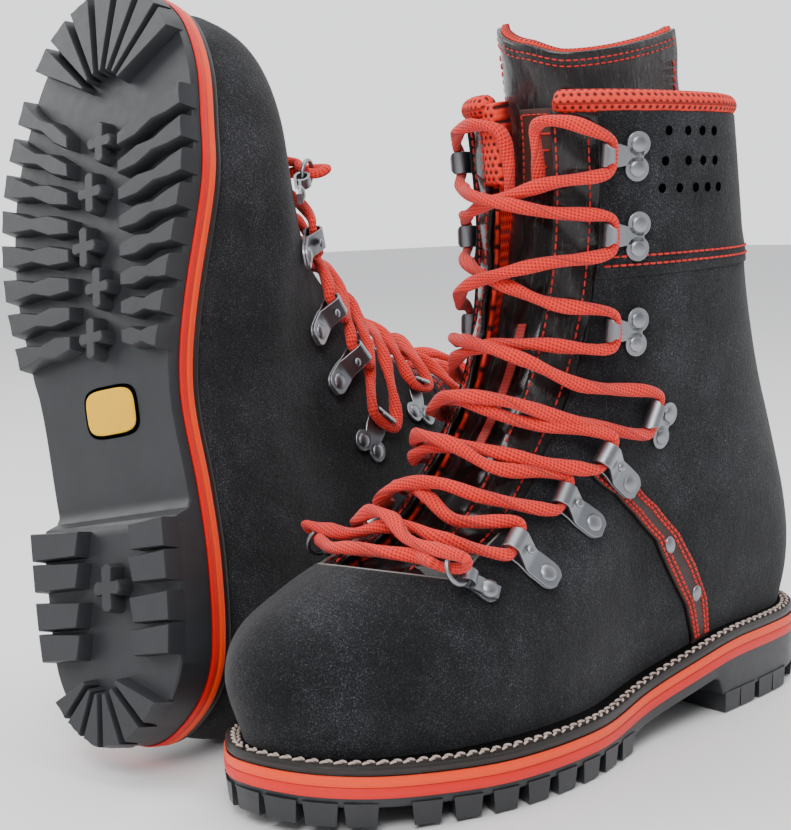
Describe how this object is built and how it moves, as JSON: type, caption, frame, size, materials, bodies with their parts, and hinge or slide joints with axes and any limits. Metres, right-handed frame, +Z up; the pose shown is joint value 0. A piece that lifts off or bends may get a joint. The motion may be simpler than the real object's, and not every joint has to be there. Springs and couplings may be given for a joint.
{
  "type": "pair of laced fire boots",
  "caption": "Pair of ankle-high laced leather fire boots with lugged soles, one standing and one leaning back with its sole in view.",
  "frame": {"origin": "on the ground, at the middle of the cross-shaped lug under the heel of the standing left boot", "axes": "+Z up, -Y from the standing boot's heel to its toe, +X to the standing boot's outer side, away from the leaning boot"},
  "size_m": [0.2532, 0.3199, 0.3087],
  "materials": {
    "suede": "matte suede with fine pale specks",
    "rubber": "matte moulded rubber",
    "red_foam": "matte midsole layer",
    "orange_foam": "matte midsole layer",
    "welt_leather": "smooth dark leather with a pale braided seam",
    "glossy_leather": "glossy crinkled leather",
    "mesh_lining": "open mesh textile",
    "lace_braid": "braided cord",
    "strap_leather": "dark leather with bright seams",
    "nickel": "satin dark nickel",
    "steel": "plain steel",
    "board": "pressed fibre board",
    "footbed_fabric": "textile over foam",
    "badge": "plain inlay",
    "label": "plain leather label"
  },
  "bodies": {
    "left_boot": {"left_outsole": "rubber", "left_sole_badge": "badge", "left_midsole_lower": "red_foam", "left_midsole_upper": "orange_foam", "left_welt": "welt_leather", "left_insole_board": "board", "left_shank": "steel", "left_toe_cap": "steel", "left_heel_counter": "board", "left_upper": "suede", "left_collar_panel": "suede", "left_side_strap": "strap_leather", "left_collar_lining": "mesh_lining", "left_collar_binding": "mesh_lining", "left_tongue": "glossy_leather", "left_tongue_label": "label", "left_outer_facing": "glossy_leather", "left_inner_facing": "glossy_leather", "left_outer_eyelets": "nickel", "left_inner_eyelets": "nickel", "left_outer_lock_hook": "nickel", "left_inner_lock_hook": "nickel", "left_outer_speed_hooks": "nickel", "left_inner_speed_hooks": "nickel", "left_outer_ring_clip": "nickel", "left_inner_ring_clip": "nickel", "left_lace": "lace_braid"},
    "left_footbed_body": {"left_footbed": "footbed_fabric"},
    "left_outer_ring": {"left_outer_lace_ring": "nickel"},
    "left_inner_ring": {"left_inner_lace_ring": "nickel"},
    "right_boot": {"right_outsole": "rubber", "right_sole_badge": "badge", "right_midsole_lower": "red_foam", "right_midsole_upper": "orange_foam", "right_welt": "welt_leather", "right_insole_board": "board", "right_shank": "steel", "right_toe_cap": "steel", "right_heel_counter": "board", "right_upper": "suede", "right_collar_panel": "suede", "right_side_strap": "strap_leather", "right_collar_lining": "mesh_lining", "right_collar_binding": "mesh_lining", "right_tongue": "glossy_leather", "right_tongue_label": "label", "right_outer_facing": "glossy_leather", "right_inner_facing": "glossy_leather", "right_outer_eyelets": "nickel", "right_inner_eyelets": "nickel", "right_outer_lock_hook": "nickel", "right_inner_lock_hook": "nickel", "right_outer_speed_hooks": "nickel", "right_inner_speed_hooks": "nickel", "right_outer_ring_clip": "nickel", "right_inner_ring_clip": "nickel", "right_lace": "lace_braid"},
    "right_footbed_body": {"right_footbed": "footbed_fabric"},
    "right_outer_ring": {"right_outer_lace_ring": "nickel"},
    "right_inner_ring": {"right_inner_lace_ring": "nickel"}
  },
  "joints": [
    {"name": "right_boot_lift", "type": "slide", "parent": "left_boot", "child": "right_boot", "axis": [0, 0, 1], "range_m": [0, 0.25]},
    {"name": "left_outer_ring_turn", "type": "hinge", "parent": "left_boot", "child": "left_outer_ring", "pos_m": [0.03839, -0.17373, 0.0832], "axis": [0.3056, -0.6373, -0.7074], "range_deg": [-10, 8]},
    {"name": "left_inner_ring_turn", "type": "hinge", "parent": "left_boot", "child": "left_inner_ring", "pos_m": [-0.03868, -0.17332, 0.08348], "axis": [0.399, 0.6358, 0.6608], "range_deg": [-10, 8]},
    {"name": "left_footbed_lift", "type": "hinge", "parent": "left_boot", "child": "left_footbed_body", "pos_m": [0.002, -0.222, 0.0254], "axis": [1, 0, 0], "range_deg": [0, 8]},
    {"name": "right_outer_ring_turn", "type": "hinge", "parent": "right_boot", "child": "right_outer_ring", "pos_m": [-0.17735, -0.14255, 0.21464], "axis": [0.3184, 0.6341, -0.7047], "range_deg": [-10, 8]},
    {"name": "right_inner_ring_turn", "type": "hinge", "parent": "right_boot", "child": "right_inner_ring", "pos_m": [-0.10322, -0.12657, 0.22843], "axis": [0.3516, -0.4451, 0.8236], "range_deg": [-10, 8]},
    {"name": "right_footbed_lift", "type": "hinge", "parent": "right_boot", "child": "right_footbed_body", "pos_m": [-0.14354, -0.18245, 0.27991], "axis": [0.9612, 0.2048, 0.1848], "range_deg": [0, 8]}
  ]
}
